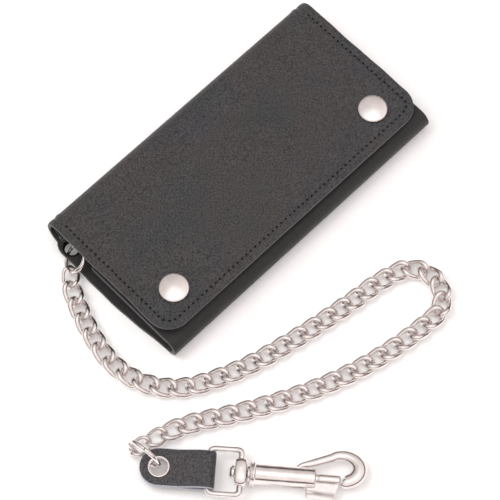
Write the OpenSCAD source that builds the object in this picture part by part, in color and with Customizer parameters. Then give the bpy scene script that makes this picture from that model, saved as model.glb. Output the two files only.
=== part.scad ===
// Long leather wallet with a snap flap, a curb chain, a leather tab and a swivel bolt snap.
// Millimetres, +Z up. X runs along the wallet and +Y points to its spine. The origin is the middle
// of the closed wallet's footprint, on the surface that it lies on.

/* [Wallet] */
// Length of the lower fold along X
fold_l = 178; // [176:1:180]
// How far the ends of the back panel bow out past the lower fold
end_bow = 3; // [2.6:0.1:4]
// Length of the flap along X
flap_l = 177; // [172:1:180]
// Closed width from the lower fold to the spine
closed_w = 92; // [90:1:100]
// How far the flap's free edge stops short of the lower fold
strip_w = 5.2; // [4:0.2:8]
// Radius of the flap's two free corners
flap_corner_r = 12; // [8:1:16]
// Distance of the seams from the leather's edges
seam_inset = 4.3; // [3.5:0.1:5]

/* [Leather] */
// Thickness of the outer leather
leather_t = 2.2; // [2:0.1:2.3]
// Thickness of the lining leather
lining_t = 1.2; // [1:0.1:1.3]
// Thickness of the card pocket leather
pocket_t = 0.8; // [0.6:0.1:0.8]
// Thickness of the tab leather
tab_t = 1.8; // [1.6:0.1:2]

/* [Snaps] */
// Distance of each snap from the middle of the wallet
snap_x = 69; // [60:1:72]
// Distance of the snap line from the flap's free edge
snap_from_edge = 16.4; // [15:0.2:20]
// Diameter of the domed caps
cap_d = 15.2; // [13:0.2:16]
// Height of the domed caps
cap_h = 2.6; // [2:0.2:3]

/* [Chain] */
// Diameter of the chain wire
chain_wire_d = 2.2; // [1.8:0.1:2.2]
// Distance from one link to the next
link_pitch = 8.8; // [8.8:0.1:8.9]
// Outside width of a link
link_w = 9.8; // [9.6:0.1:10]
// Twist of each end of a link out of the link's middle plane
link_twist = 48; // [45:1:50]

/* [Tab and bolt snap] */
// Width of the leather tab
tab_w = 18; // [17:0.5:18.5]
// Diameter of the strap loop's rod
rod_d = 2.8; // [2.4:0.1:2.8]
// Diameter of the snap's barrel
barrel_d = 10; // [9:0.2:10]
// Diameter of the sliding bolt
bolt_d = 4.8; // [4:0.2:5]

/* [Hidden] */
$fn = 48;
thin = 0.1;

// Heights of the closed wallet's layers, from the table up
back_rise = 3.2;
flap_top = 18.6;
flap_under = flap_top - leather_t;
lining_under = flap_under - lining_t;
snap_gap = 2.6;
pouch_top = lining_under - snap_gap;
pouch_under = pouch_top - leather_t;
pouch_lining_under = pouch_under - lining_t;
pouch_gap = 1.6;
pouch_floor = pouch_lining_under - pouch_gap - lining_t;

// The spine and the lower fold are half turns of the outer leather
spine_r = (flap_top - back_rise) / 2;
spine_y = closed_w / 2 - spine_r;
spine_z = back_rise + spine_r;
fold_r = pouch_top / 2;
fold_y = -closed_w / 2 + fold_r;
flap_edge_y = -closed_w / 2 + strip_w;
rise_start_y = 6;
rise_end_y = 25;

// Snap fastener
snap_y = flap_edge_y + snap_from_edge;
shank_r = 2;
socket_r = 5.2;
socket_h = 2;
socket_hole_r = 3.4;
socket_floor = 0.4;
stud_flange_r = 4.6;
stud_flange_h = 0.4;
stud_r = 2.6;
stud_h = 1.4;
post_r = 1.5;
post_flange_h = 0.4;

// Eyelets
wallet_hole = [-87, 30.5];
wallet_hole_r = 3.75;
wallet_flange_r = 4.8;
tab_hole_r = 3.95;
tab_flange_r = 5.3;
flange_h = 0.35;
eyelet_wall = 0.3;

// Rings
wallet_ring_r = 7;
wallet_ring_at = [-89.9, 24.8, 6.1];
wallet_ring_heading = -133;
wallet_ring_tilt = 45;
ring_wire_r = 1.05;
tab_ring_r = 9.4;

// The chain's lay: first point, first heading, then [number of links, turn before each of them]
links_per_node = 4;
chain_start = [-94.5, 23.5];
chain_heading = -133;
chain_bends = [[1, 0], [1, 17.5], [4, 4], [6, 12], [4, 3.5], [7, 1], [2, -5.5], [5, -33], [9, -2.5],
    [5, -1.5], [4, 5.5]];
chain_turns = [for (b = chain_bends) for (i = [1 : b[0]]) b[1]];
chain_z = 3;
link_r = (link_w - chain_wire_d) / 2;
link_half = 5.9;
link_sides = 6;
link_rings = 16;

// The tab lies in a frame of its own, with the eyelet at its origin and +X towards the bolt snap
tab_at = [-134.1, -81.6];
tab_heading = -48.5;
tab_ring_heading = 98;
tab_ring_out = 8.7;
tab_low = 4.9;
tab_high = 6.8;
bar_u = 23.6;
bar_z = 6.5;
fold_gap = 0.2;
tab_fold_r = rod_d / 2 + fold_gap + tab_t / 2;
tab_level_u = 7;

// The strap loop and the bolt snap, along the swivel's axis from the middle of the hub
loop_len = 15.4;
loop_half_w = tab_w / 2 + rod_d / 2 + 0.7;
loop_corner_r = 2.5;
hub_len = 5.5;
hub_w = 14;
hub_h = 9;
snap_tilt = 2.2;
stem_r = 1.5;
stem_hole_r = 1.9;
rivet_r = 3.6;
rivet_h = 2.2;
play = 0.35;
flange_r = 6.2;
flange_x = 4.2;
barrel_x = 6.8;
barrel_end = 35.5;
bore_x = 9.5;
bore_r = bolt_d / 2 + 0.35;
slot_x = 19.5;
slot_w = 2.4;
bolt_back = 21.5;
bolt_tip = 47.4;
lever_t = 1.8;

// ---- helpers ----

function arc(cy, cz, r, a0, a1, n) =
    [for (i = [0 : n]) let (a = a0 + (a1 - a0) * i / n) [cy + r * cos(a), cz + r * sin(a)]];
// A smooth step from one height to another between two places along a path
function ramp(y0, z0, y1, z1, n) =
    [for (i = [0 : n]) let (t = i / n) [y0 + (y1 - y0) * t, z0 + (z1 - z0) * t * t * (3 - 2 * t)]];
function unit(v) = v / norm(v);
function tangent(p, i) = unit(p[min(i + 1, len(p) - 1)] - p[max(i - 1, 0)]);
function beside(p, d) =
    [for (i = [0 : len(p) - 1]) let (t = tangent(p, i)) p[i] + d * [-t[1], t[0]]];
function backwards(p) = [for (i = [len(p) - 1 : -1 : 0]) p[i]];

// A strip of leather of thickness t that follows a path of [Y, Z] points and is l long on X
module strip(path, t, l) {
    translate([-l / 2, 0, 0])
        rotate([90, 0, 90])
            linear_extrude(l)
                polygon(concat(beside(path, t / 2), backwards(beside(path, -t / 2))));
}

// Half a turn of leather about (cy, cz), from radius r inwards by t, with its ends square to the
// panels that it joins; side is +1 to turn towards +Y, and the strip is l long on X
module half_turn(cy, cz, r, t, side, n, l) {
    last = side > 0 ? 90 : -270;
    translate([-l / 2, 0, 0])
        rotate([90, 0, 90])
            linear_extrude(l)
                polygon(concat(arc(cy, cz, r, -90, last, n), backwards(arc(cy, cz, r - t, -90, last, n))));
}

// A panel outline on X and Y, with its two corners at y0 rounded
module panel_outline(l, y0, y1, r) {
    translate([-l / 2, y0 + r])
        square([l, y1 - y0 - r]);
    translate([-l / 2 + r, y0])
        square([l - 2 * r, r + thin]);
    for (side = [-1, 1])
        translate([side * (l / 2 - r), y0 + r])
            circle(r);
}

module slab(z0, z1) {
    translate([0, 0, z0])
        linear_extrude(z1 - z0)
            children();
}

module rod_hole(x, y, r, z0, z1) {
    translate([x, y, z0 - thin])
        cylinder(h = z1 - z0 + 2 * thin, r = r);
}

module washer(z, h, r_out, r_in) {
    difference() {
        translate([0, 0, z])
            cylinder(h = h, r = r_out);
        translate([0, 0, z - thin])
            cylinder(h = h + 2 * thin, r = r_in);
    }
}

module torus(r, wire_r) {
    rotate_extrude()
        translate([r, 0])
            circle(wire_r, $fn = 24);
}

// A tube whose rings are given as lists of points; closed joins the last ring to the first
module skin(rings, closed) {
    n = len(rings);
    m = len(rings[0]);
    last = closed ? n - 1 : n - 2;
    walls = [for (i = [0 : last]) for (j = [0 : m - 1])
        let (a = i * m, b = ((i + 1) % n) * m, k = (j + 1) % m)
            each [[a + j, a + k, b + k], [a + j, b + k, b + j]]];
    ends = closed ? [] : [[for (j = [m - 1 : -1 : 0]) j], [for (j = [0 : m - 1]) (n - 1) * m + j]];
    polyhedron([for (r = rings) each r], concat(walls, ends));
}

// A ring of m points of radius r round p, square to direction t, started from direction up
function ring_at(p, t, up, r, m) =
    let (side = unit(cross(t, up)), top = cross(side, t))
        [for (j = [0 : m - 1]) p + r * (cos(360 * j / m) * side + sin(360 * j / m) * top)];

// ---- leather of the wallet ----

back_z = leather_t / 2;
back_path = concat([[fold_y, back_z]],
    ramp(rise_start_y, back_z, rise_end_y, back_z + back_rise, 8),
    [[spine_y, back_z + back_rise]]);

// Half length of the back panel at y: both ends bow out most at bow_y, come back to the fold's
// length bow_reach from there, and turn in again past turn_y towards the spine
bow_y = 18;
bow_reach = 58;
turn_y = 33;
function end_x(y) = fold_l / 2 + end_bow * (1 - pow((y - bow_y) / bow_reach, 2))
    - 0.08 * pow(max(0, y - turn_y), 2);
back_edge = [for (i = [0 : 16]) let (y = fold_y + (spine_y - fold_y) * i / 16) [end_x(y), y]];

module seam(l, y0, y1, r, z) {
    slab(z, z + 0.2)
        difference() {
            panel_outline(l - 2 * seam_inset, y0 + seam_inset, y1, max(r - seam_inset, 2));
            panel_outline(l - 2 * seam_inset - 1.2, y0 + seam_inset + 0.6, y1 + 1,
                max(r - seam_inset - 0.6, 1.4));
        }
}

// Outer leather that lies on the table, with the hole for the chain's ring
module back_panel() {
    color([0.2, 0.2, 0.2])
        difference() {
            intersection() {
                strip(back_path, leather_t, 2 * end_x(bow_y));
                slab(-1, 9)
                    polygon(concat(back_edge, [for (p = backwards(back_edge)) [-p[0], p[1]]]));
            }
            rod_hole(wallet_hole[0], wallet_hole[1], wallet_hole_r + eyelet_wall + 0.05, 0, 9);
        }
}

bill_l = fold_l - 8;
bill_under = leather_t + 0.2;

// Thin panel sewn inside the back panel, which makes the bill pocket
module bill_panel() {
    color([0.16, 0.15, 0.15])
        slab(bill_under, bill_under + 0.8)
            translate([-bill_l / 2, fold_y])
                square([bill_l, rise_start_y - fold_y]);
}

// Card pockets lie on the bill panel, each a step further from the spine
module card_pocket(step) {
    z0 = bill_under + 0.8 + step * (pocket_t + 0.05) + 0.05;
    color([0.18, 0.17, 0.17])
        slab(z0, z0 + pocket_t)
            translate([-bill_l / 2 + 4, fold_y + 2])
                square([bill_l - 8, 40 - 11 * step]);
}

module card_pocket_1() card_pocket(0);
module card_pocket_2() card_pocket(1);
module card_pocket_3() card_pocket(2);

// Two seams across the ends of the bill panel
module back_stitching() {
    z0 = bill_under + 0.8;
    color([0.08, 0.08, 0.08])
        for (side = [-1, 1])
            translate([side * (bill_l / 2 - 1.6) - 0.3, fold_y + 2, z0])
                cube([0.6, rise_start_y - fold_y - 4, 0.2]);
}

// The half turn of outer leather that joins the back panel to the flap
module spine_fold() {
    color([0.24, 0.23, 0.23])
        half_turn(spine_y, spine_z, spine_r, leather_t, 1, 16, flap_l);
}

// Lining that follows the inside of the spine
module spine_lining() {
    color([0.16, 0.15, 0.15])
        half_turn(spine_y, spine_z, spine_r - leather_t - 0.02, lining_t, 1, 16, flap_l - 3);
}

// The half turn of outer leather that joins the back panel to the pouch panel
module lower_fold() {
    color([0.2, 0.2, 0.21])
        half_turn(fold_y, fold_r, fold_r, leather_t, -1, 14, fold_l);
}

// ---- flap ----

module flap_panel() {
    color([0.28, 0.27, 0.27])
        difference() {
            slab(flap_under, flap_top)
                panel_outline(flap_l, flap_edge_y, spine_y, flap_corner_r);
            for (side = [-1, 1])
                rod_hole(side * snap_x, snap_y, shank_r + 0.05, flap_under, flap_top);
        }
}

module flap_lining() {
    color([0.16, 0.15, 0.15])
        difference() {
            slab(lining_under, flap_under)
                panel_outline(flap_l - 3, flap_edge_y + 0.8, spine_y, flap_corner_r - 0.8);
            for (side = [-1, 1])
                rod_hole(side * snap_x, snap_y, shank_r + 0.05, lining_under, flap_under);
        }
}

module flap_stitching() {
    color([0.08, 0.08, 0.08])
        seam(flap_l, flap_edge_y, spine_y, flap_corner_r, flap_top);
}

// ---- snap fasteners ----

// Domed cap with the shank that passes through the flap and its lining
module snap_cap(side) {
    r = cap_d / 2;
    color([0.8, 0.78, 0.76])
        translate([side * snap_x, snap_y, 0]) {
            translate([0, 0, flap_top])
                rotate_extrude()
                    polygon(concat([[0, 0], [r - 0.6, 0], [r, 0.4]],
                        [for (a = [15 : 15 : 75]) [r * cos(a), 0.4 + (cap_h - 0.4) * sin(a)]],
                        [[0, cap_h]]));
            translate([0, 0, lining_under])
                cylinder(h = flap_top - lining_under + thin, r = shank_r);
        }
}

module snap_cap_left() snap_cap(-1);
module snap_cap_right() snap_cap(1);

// Socket under the flap, open downwards
module snap_socket(side) {
    color([0.75, 0.73, 0.7])
        translate([side * snap_x, snap_y, lining_under - socket_h])
            difference() {
                cylinder(h = socket_h, r = socket_r);
                translate([0, 0, -thin])
                    cylinder(h = socket_h - socket_floor + thin, r = socket_hole_r);
            }
}

module snap_socket_left() snap_socket(-1);
module snap_socket_right() snap_socket(1);

// Stud on the pouch panel, which the socket clicks over
module snap_stud(side) {
    color([0.75, 0.73, 0.7])
        translate([side * snap_x, snap_y, pouch_top]) {
            cylinder(h = stud_flange_h, r = stud_flange_r);
            cylinder(h = stud_flange_h + stud_h, r = stud_r);
        }
}

module snap_stud_left() snap_stud(-1);
module snap_stud_right() snap_stud(1);

// Post inside the pouch, riveted into the stud through both leathers
module snap_post(side) {
    color([0.75, 0.73, 0.7])
        translate([side * snap_x, snap_y, 0]) {
            translate([0, 0, pouch_lining_under - post_flange_h])
                cylinder(h = post_flange_h, r = stud_flange_r);
            translate([0, 0, pouch_lining_under - thin])
                cylinder(h = pouch_top - pouch_lining_under + thin, r = post_r);
        }
}

module snap_post_left() snap_post(-1);
module snap_post_right() snap_post(1);

// ---- pouch ----

pouch_l = fold_l - 2;
pouch_lining_l = fold_l - 5;
pouch_end_y = 30;
nose_r = (pouch_under - pouch_floor - lining_t) / 2;
nose_y = 36.5;
relief_depth = 6;
relief_w = 15.4;
relief_y = wallet_hole[1] - 12.9;

// Notch in the left end of the pouch, where the chain's ring stands in its eyelet
module ring_relief() {
    translate([-pouch_l / 2 - 1, relief_y, 0])
        cube([relief_depth + 1, relief_w, pouch_top + 1]);
}

module pouch_panel() {
    color([0.2, 0.2, 0.21])
        difference() {
            slab(pouch_under, pouch_top)
                translate([-pouch_l / 2, fold_y])
                    square([pouch_l, pouch_end_y - fold_y]);
            ring_relief();
            for (side = [-1, 1])
                rod_hole(side * snap_x, snap_y, post_r + 0.05, pouch_under, pouch_top);
        }
}

// Lining folded double, which makes the coin pouch
module pouch_lining() {
    mid = (pouch_under + pouch_floor) / 2;
    path = concat([[fold_y + 1, mid - nose_r]],
        arc(nose_y, mid, nose_r, -90, 90, 10),
        [[fold_y + 1, mid + nose_r]]);
    color([0.16, 0.15, 0.15])
        difference() {
            strip(path, lining_t, pouch_lining_l);
            ring_relief();
            for (side = [-1, 1])
                rod_hole(side * snap_x, snap_y, post_r + 0.05, pouch_lining_under - 0.5, pouch_under);
        }
}

module pouch_stitching() {
    color([0.08, 0.08, 0.08])
        for (side = [-1, 1])
            translate([side * (pouch_l / 2 - seam_inset) - 0.3, fold_y + 1, pouch_top])
                cube([0.6, pouch_end_y - fold_y - 4, 0.2]);
}

// ---- ring and chain ----

// Eyelet set in the back panel, from below
module wallet_eyelet() {
    color([0.8, 0.78, 0.76])
        translate([wallet_hole[0], wallet_hole[1], 0]) {
            washer(back_rise - flange_h, flange_h, wallet_flange_r, wallet_hole_r);
            washer(back_rise - thin, leather_t + flange_h + thin, wallet_hole_r + eyelet_wall,
                wallet_hole_r);
        }
}

module wallet_eyelet_washer() {
    color([0.8, 0.78, 0.76])
        translate([wallet_hole[0], wallet_hole[1], 0])
            washer(back_rise + leather_t, flange_h, wallet_flange_r, wallet_hole_r + eyelet_wall + 0.02);
}

module wallet_ring() {
    color([0.8, 0.78, 0.76])
        translate(wallet_ring_at)
            rotate([0, 0, wallet_ring_heading])
                rotate([wallet_ring_tilt, 0, 0])
                    torus(wallet_ring_r, ring_wire_r);
}

function turned(k) = k == 0 ? chain_turns[0] : turned(k - 1) + chain_turns[k];
headings = [for (k = [0 : len(chain_turns) - 1]) chain_heading + turned(k)];
function walked(k) = k == 0 ? chain_start
    : walked(k - 1) + link_pitch * [cos(headings[k - 1]), sin(headings[k - 1])];

// Point on a link's middle line, s from 0 to 1 round a loop with straight sides and round ends
function loop_point(s) =
    let (flat = link_half - link_r, whole = 4 * flat + 2 * PI * link_r, d = s * whole)
        d < 2 * flat ? [d - flat, -link_r]
        : d < 2 * flat + PI * link_r
            ? let (a = (d - 2 * flat) / link_r * 180 / PI - 90) [flat + link_r * cos(a), link_r * sin(a)]
        : d < 4 * flat + PI * link_r ? [3 * flat + PI * link_r - d, link_r]
        : let (a = (d - 4 * flat - PI * link_r) / link_r * 180 / PI + 90)
            [-flat + link_r * cos(a), link_r * sin(a)];
// The loop is twisted evenly about X, which makes it a curb link
function link_point(s) =
    let (p = loop_point(s - floor(s)), a = link_twist * p[0] / link_half)
        [p[0], p[1] * cos(a), p[1] * sin(a)];

// Rings of points round the wire; each is set square to the wire and started from the outside
link_skin = [for (i = [0 : link_rings - 1])
    let (s = (i + 0.5) / link_rings, p = link_point(s),
        t = unit(link_point(s + 0.01) - link_point(s - 0.01)))
        ring_at(p, t, [p[0] + thin, p[1], p[2]], chain_wire_d / 2, link_sides)];

module chain(first) {
    color([0.82, 0.8, 0.78])
        for (k = [first : first + links_per_node - 1]) {
            middle = walked(k) + link_pitch / 2 * [cos(headings[k]), sin(headings[k])];
            translate([middle[0], middle[1], chain_z])
                rotate([0, 0, headings[k]])
                    skin(link_skin, true);
        }
}

module chain_01() chain(0);
module chain_02() chain(links_per_node);
module chain_03() chain(2 * links_per_node);
module chain_04() chain(3 * links_per_node);
module chain_05() chain(4 * links_per_node);
module chain_06() chain(5 * links_per_node);
module chain_07() chain(6 * links_per_node);
module chain_08() chain(7 * links_per_node);
module chain_09() chain(8 * links_per_node);
module chain_10() chain(9 * links_per_node);
module chain_11() chain(10 * links_per_node);
module chain_12() chain(11 * links_per_node);

// ---- tab ----

module in_tab() {
    translate([tab_at[0], tab_at[1], 0])
        rotate([0, 0, tab_heading])
            children();
}

// The ring stands on edge through the tab's eyelet and the last link
module tab_ring() {
    color([0.8, 0.78, 0.76])
        translate([tab_at[0], tab_at[1], ring_wire_r + tab_ring_r + thin])
            rotate([0, 0, tab_ring_heading])
                translate([tab_ring_out, 0, 0])
                    rotate([90, 0, 0])
                        torus(tab_ring_r, ring_wire_r);
}

// A strip of leather folded double round the bar of the strap loop
module leather_tab() {
    path = concat([[-tab_w / 2, tab_low]],
        ramp(tab_level_u, tab_low, bar_u - 3, bar_z - tab_fold_r, 6),
        arc(bar_u, bar_z, tab_fold_r, -90, 90, 12),
        ramp(bar_u - 3, bar_z + tab_fold_r, tab_level_u, tab_high, 6),
        [[-tab_w / 2, tab_high]]);
    color([0.2, 0.2, 0.2])
        in_tab()
            difference() {
                intersection() {
                    rotate([0, 0, -90])
                        strip(path, tab_t, tab_w);
                    union() {
                        cylinder(h = 12, r = tab_w / 2);
                        translate([0, -tab_w / 2, 0])
                            cube([40, tab_w, 12]);
                    }
                }
                rod_hole(0, 0, tab_hole_r + eyelet_wall + 0.05, 0, 12);
            }
}

tab_under = tab_low - tab_t / 2;
tab_top = tab_high + tab_t / 2;

module tab_eyelet() {
    color([0.8, 0.78, 0.76])
        in_tab() {
            washer(tab_top, flange_h, tab_flange_r, tab_hole_r);
            washer(tab_under - flange_h, tab_top - tab_under + flange_h + thin,
                tab_hole_r + eyelet_wall, tab_hole_r);
        }
}

module tab_eyelet_washer() {
    color([0.8, 0.78, 0.76])
        in_tab()
            washer(tab_under - flange_h, flange_h, tab_flange_r, tab_hole_r + eyelet_wall + 0.02);
}

// ---- strap loop and bolt snap ----

module rod_between(a, b, r) {
    d = b - a;
    translate([a[0], a[1], 0])
        rotate([0, 0, atan2(d[1], d[0])])
            rotate([0, 90, 0])
                cylinder(h = norm(d), r = r);
}

module corner_bend(x, y, from) {
    translate([x, y, 0])
        rotate([0, 0, from])
            rotate_extrude(angle = 90)
                translate([loop_corner_r, 0])
                    circle(rod_d / 2, $fn = 24);
}

module in_loop() {
    in_tab()
        translate([bar_u + loop_len, 0, bar_z])
            children();
}

// Rectangle of rod round the tab's fold, with the hub that the swivel stem turns in
module strap_loop() {
    w = loop_half_w;
    c = loop_corner_r;
    color([0.8, 0.78, 0.76])
        in_loop()
            difference() {
                union() {
                    rod_between([-loop_len, c - w], [-loop_len, w - c], rod_d / 2);
                    for (side = [-1, 1]) {
                        rod_between([-loop_len + c, side * w], [-c, side * w], rod_d / 2);
                        rod_between([0, side * (w - c)], [0, side * 4], rod_d / 2);
                    }
                    corner_bend(-c, w - c, 0);
                    corner_bend(-loop_len + c, w - c, 90);
                    corner_bend(-loop_len + c, c - w, 180);
                    corner_bend(-c, c - w, 270);
                    intersection() {
                        rotate([0, 90, 0])
                            translate([0, 0, -hub_len / 2])
                                cylinder(h = hub_len, r = hub_w / 2);
                        translate([-hub_len, -hub_w, -hub_h / 2])
                            cube([2 * hub_len, 2 * hub_w, hub_h]);
                    }
                }
                rotate([0, 90, 0])
                    translate([0, 0, -hub_len])
                        cylinder(h = 2 * hub_len, r = stem_hole_r);
            }
}

// The bolt snap droops a little from the hub, so its hook comes down to the table
module in_snap() {
    in_loop()
        rotate([0, snap_tilt, 0])
            children();
}

module along(x0, x1, r) {
    translate([x0, 0, 0])
        rotate([0, 90, 0])
            cylinder(h = x1 - x0, r = r);
}

// Barrel with its flange and swivel stem, bored for the bolt and slotted for the thumb lever
module snap_body() {
    color([0.84, 0.8, 0.77])
        in_snap()
            difference() {
                union() {
                    along(-hub_len / 2 - play, flange_x + thin, stem_r);
                    along(flange_x, barrel_x, flange_r);
                    along(barrel_x - thin, barrel_end, barrel_d / 2);
                }
                along(bore_x, barrel_end + 1, bore_r);
                translate([slot_x, -barrel_d, -slot_w / 2])
                    cube([barrel_end - slot_x + 1, barrel_d, slot_w]);
            }
}

// Riveted head on the stem, inside the strap loop
module swivel_rivet() {
    color([0.8, 0.78, 0.76])
        in_snap()
            along(-hub_len / 2 - play - rivet_h, -hub_len / 2 - play, rivet_r);
}

// Middle line of the hook, as [x, y, radius], from the barrel round to the tip
hook_line = concat([[29, 6.1, 1.2], [34, 7.6, 2]],
    [for (a = [135 : -30 : -75]) [47.8 + 8.4 * cos(a), 5.8 + 6.6 * sin(a), 2.2 + (135 - a) / 260]],
    [[48.2, -0.2, 2.6]]);
function hook_place(i) = [hook_line[i][0], hook_line[i][1], 0];

module snap_hook() {
    n = len(hook_line);
    rings = [for (i = [0 : n - 1])
        let (t = unit(hook_place(min(i + 1, n - 1)) - hook_place(max(i - 1, 0))))
            ring_at(hook_place(i), t, [0, 0, 1], hook_line[i][2], 10)];
    color([0.84, 0.8, 0.77])
        in_snap()
            skin(rings, false);
}

module slide_bolt() {
    color([0.84, 0.8, 0.77])
        in_snap()
            along(bolt_back, bolt_tip, bolt_d / 2);
}

// Thumb lever on the side of the bolt, which slides in the barrel's slot
module thumb_lever() {
    color([0.84, 0.8, 0.77])
        in_snap()
            translate([0, 0, -lever_t / 2])
                linear_extrude(lever_t)
                    polygon([[31.5, -bolt_d / 2], [31.5, -9.6], [43, -11.2], [46, -8],
                        [46.8, -bolt_d / 2]]);
}

spring_turns = 7;
spring_r = 2.2;
spring_steps = 10;

module bolt_spring() {
    n = spring_turns * spring_steps;
    x0 = bore_x + 0.5;
    pitch = (bolt_back - 0.5 - x0) / n;
    rings = [for (i = [0 : n])
        let (a = 360 * i / spring_steps,
            p = [x0 + i * pitch, spring_r * cos(a), spring_r * sin(a)],
            t = unit([pitch * spring_steps / (2 * PI), -spring_r * sin(a), spring_r * cos(a)]))
            ring_at(p, t, [1, 0, 0], 0.3, 5)];
    color([0.7, 0.7, 0.7])
        in_snap()
            skin(rings, false);
}

back_panel();
bill_panel();
card_pocket_1();
card_pocket_2();
card_pocket_3();
back_stitching();
wallet_eyelet();
wallet_eyelet_washer();
spine_fold();
spine_lining();
lower_fold();
flap_panel();
flap_lining();
flap_stitching();
snap_cap_left();
snap_cap_right();
snap_socket_left();
snap_socket_right();
pouch_panel();
pouch_lining();
pouch_stitching();
snap_stud_left();
snap_stud_right();
snap_post_left();
snap_post_right();
wallet_ring();
chain_01();
chain_02();
chain_03();
chain_04();
chain_05();
chain_06();
chain_07();
chain_08();
chain_09();
chain_10();
chain_11();
chain_12();
tab_ring();
leather_tab();
tab_eyelet();
tab_eyelet_washer();
strap_loop();
snap_body();
snap_hook();
swivel_rivet();
slide_bolt();
thumb_lever();
bolt_spring();
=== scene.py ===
import bpy
import numpy as np
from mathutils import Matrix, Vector


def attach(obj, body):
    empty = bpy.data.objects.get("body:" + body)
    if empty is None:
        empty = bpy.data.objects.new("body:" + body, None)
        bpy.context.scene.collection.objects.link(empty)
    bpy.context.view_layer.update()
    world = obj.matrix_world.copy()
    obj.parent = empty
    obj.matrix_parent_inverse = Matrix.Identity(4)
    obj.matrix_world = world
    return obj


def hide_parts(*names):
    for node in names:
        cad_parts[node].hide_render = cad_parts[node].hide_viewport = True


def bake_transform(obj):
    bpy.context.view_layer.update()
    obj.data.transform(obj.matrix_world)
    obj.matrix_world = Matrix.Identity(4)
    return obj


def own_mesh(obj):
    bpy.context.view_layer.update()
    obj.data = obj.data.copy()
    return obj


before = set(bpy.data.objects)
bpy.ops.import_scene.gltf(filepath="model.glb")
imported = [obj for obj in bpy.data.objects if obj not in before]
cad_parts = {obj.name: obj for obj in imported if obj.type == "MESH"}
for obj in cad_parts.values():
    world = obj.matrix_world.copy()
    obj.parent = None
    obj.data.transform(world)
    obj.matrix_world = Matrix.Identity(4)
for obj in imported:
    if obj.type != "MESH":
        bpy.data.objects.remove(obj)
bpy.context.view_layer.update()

# ------------------------------
# Camera, floor and light. A long lens looks down on the closed wallet, which lies on a white
# floor under two broad softboxes. The room round it is brightest overhead and in front, with a
# dark band above the horizon that draws a dark line down the side of every wire.

MM = 0.001
azimuth, elevation = np.radians(-44.46), np.radians(67.40)
looked_at = np.array([-23.2, -30.4, 0.0])
distance = 1029
to_camera = np.array([np.sin(azimuth) * np.cos(elevation),
                      -np.cos(azimuth) * np.cos(elevation), np.sin(elevation)])
camera = bpy.data.objects.new("camera", bpy.data.cameras.new("camera"))
bpy.context.scene.collection.objects.link(camera)
bpy.context.scene.camera = camera
camera.location = (looked_at + distance * to_camera) * MM
camera.rotation_euler = Vector(-to_camera).to_track_quat("-Z", "Y").to_euler()
camera.data.sensor_width = 36
camera.data.lens = 148.7
camera.data.clip_start, camera.data.clip_end = 0.02, 50
bpy.context.scene.view_settings.view_transform = "Standard"

floor_radius, floor_height, floor_sides = 4, -0.0002, 96
floor_data = bpy.data.meshes.new("floor")
around = np.linspace(0, 2 * np.pi, floor_sides, endpoint=False)
floor_data.from_pydata(np.stack([floor_radius * np.cos(around), floor_radius * np.sin(around),
                                 0 * around + floor_height], 1).tolist(), [], [list(range(floor_sides))])
floor = bpy.data.objects.new("floor", floor_data)
bpy.context.scene.collection.objects.link(floor)


def node_material(name):
    """An empty node material with its shader and output, and a short way to add linked nodes."""
    made = bpy.data.materials.new(name)
    made.use_nodes = True
    tree = made.node_tree
    shader = tree.nodes["Principled BSDF"]

    def node(kind, inputs=None, **settings):
        n = tree.nodes.new("ShaderNode" + kind)
        for key, value in settings.items():
            setattr(n, key, value)
        for key, value in (inputs or {}).items():
            if isinstance(value, bpy.types.NodeSocket):
                tree.links.new(value, n.inputs[key])
            else:
                n.inputs[key].default_value = value
        return n

    return made, tree, shader, node


def ramp_of(node, source, stops):
    """A colour ramp fed by source, with (place, grey or colour) stops."""
    n = node("ValToRGB", {"Fac": source})
    while len(n.color_ramp.elements) < len(stops):
        n.color_ramp.elements.new(0.5)
    for element, (place, colour) in zip(n.color_ramp.elements, stops):
        element.position = place
        element.color = (*colour, 1) if hasattr(colour, "__len__") else (colour, colour, colour, 1)
    return n.outputs["Color"]


def noise_of(node, place, scale, detail, roughness=0.5, out="Fac"):
    """Soft noise over a place, whose largest features are about one over scale in metres."""
    return node("TexNoise", {"Vector": place, "Scale": scale, "Detail": detail,
                             "Roughness": roughness}).outputs[out]


floor_paint, tree, shader, node = node_material("white_floor")
place = node("TexCoord").outputs["Object"]
speckle = noise_of(node, place, 40.0, 3.0)
tree.links.new(ramp_of(node, speckle, [(0.3, 0.90), (0.7, 0.93)]), shader.inputs["Base Color"])
shader.inputs["Roughness"].default_value = 0.9
shader.inputs["Specular IOR Level"].default_value = 0.1
shader.inputs["Emission Color"].default_value = (1.0, 0.985, 0.98, 1)
shader.inputs["Emission Strength"].default_value = 0.12
floor.data.materials.append(floor_paint)

studio = bpy.data.worlds.new("studio")
bpy.context.scene.world = studio
studio.use_nodes = True
tree = studio.node_tree
sky_way = tree.nodes.new("ShaderNodeTexCoord").outputs["Generated"]
split = tree.nodes.new("ShaderNodeSeparateXYZ")
tree.links.new(sky_way, split.inputs[0])
ceiling = tree.nodes.new("ShaderNodeValToRGB")
for _ in range(5):
    ceiling.color_ramp.elements.new(0.5)
for element, (height, colour) in zip(ceiling.color_ramp.elements, [
        (0.0, (0.9, 0.86, 0.85)), (0.10, (0.50, 0.44, 0.42)), (0.19, (0.03, 0.022, 0.02)),
        (0.37, (0.18, 0.15, 0.145)), (0.52, (0.70, 0.64, 0.625)), (0.90, (0.76, 0.705, 0.69)),
        (0.975, (1.0, 0.985, 0.98))]):
    element.position = height
    element.color = (*colour, 1)
tree.links.new(split.outputs["Z"], ceiling.inputs["Fac"])
window_side = tree.nodes.new("ShaderNodeVectorMath")
window_side.operation = "DOT_PRODUCT"
window_side.inputs[1].default_value = (-0.10, -0.86, 0.50)
tree.links.new(sky_way, window_side.inputs[0])
brighter = tree.nodes.new("ShaderNodeMapRange")
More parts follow.
